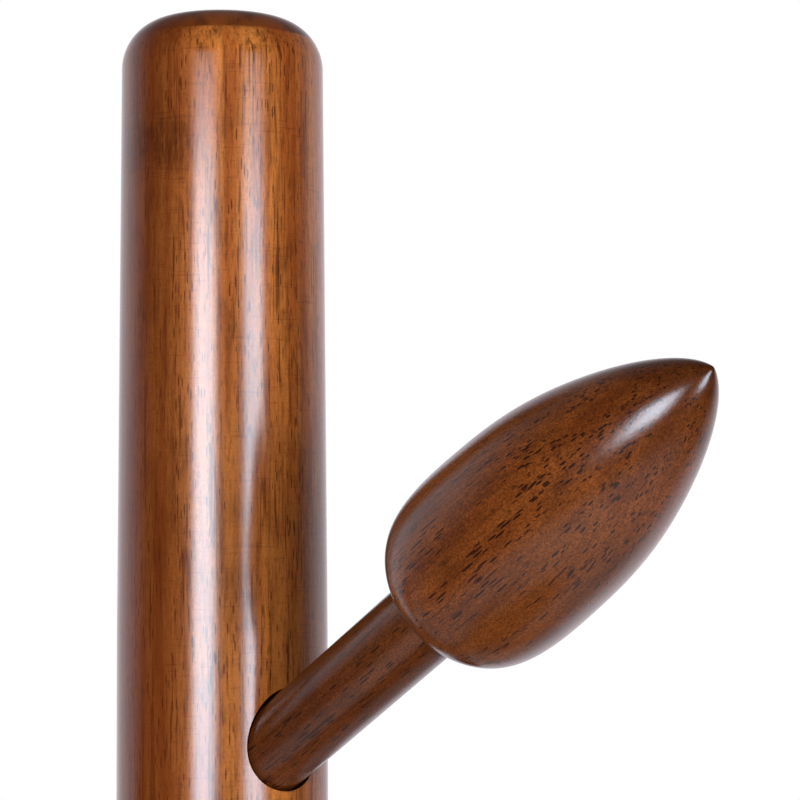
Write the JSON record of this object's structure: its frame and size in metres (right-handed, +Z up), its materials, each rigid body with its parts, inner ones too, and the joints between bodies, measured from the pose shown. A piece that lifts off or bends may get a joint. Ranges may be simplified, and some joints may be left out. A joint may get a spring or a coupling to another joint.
{
  "type": "mug tree",
  "caption": "Free-standing wooden mug tree: round domed post on a turned disc base, with staggered sloping pegs that end in long rounded buds to hold mugs by their handles.",
  "frame": {"origin": "on the post's axis, at the level of the surface the four feet stand on", "axes": "+Z up along the post; +X points along the top arm, as seen from above"},
  "size_m": [0.17, 0.17, 0.3997],
  "materials": {
    "stained_wood": "walnut-stained open-pored hardwood under clear gloss lacquer",
    "zinc_steel": "bright zinc-plated",
    "brass_insert": "plain turned brass",
    "felt": "dense dark felt"
  },
  "bodies": {
    "root": {"base": "stained_wood", "post": "stained_wood", "arm_1": "stained_wood", "arm_bolt_1": "zinc_steel", "arm_insert_1": "brass_insert", "arm_2": "stained_wood", "arm_bolt_2": "zinc_steel", "arm_insert_2": "brass_insert", "arm_3": "stained_wood", "arm_bolt_3": "zinc_steel", "arm_insert_3": "brass_insert", "arm_4": "stained_wood", "arm_bolt_4": "zinc_steel", "arm_insert_4": "brass_insert", "arm_5": "stained_wood", "arm_bolt_5": "zinc_steel", "arm_insert_5": "brass_insert", "arm_6": "stained_wood", "arm_bolt_6": "zinc_steel", "arm_insert_6": "brass_insert", "post_insert": "brass_insert", "base_washer": "zinc_steel", "base_bolt": "zinc_steel", "foot_1": "felt", "foot_2": "felt", "foot_3": "felt", "foot_4": "felt"}
  },
  "joints": []
}
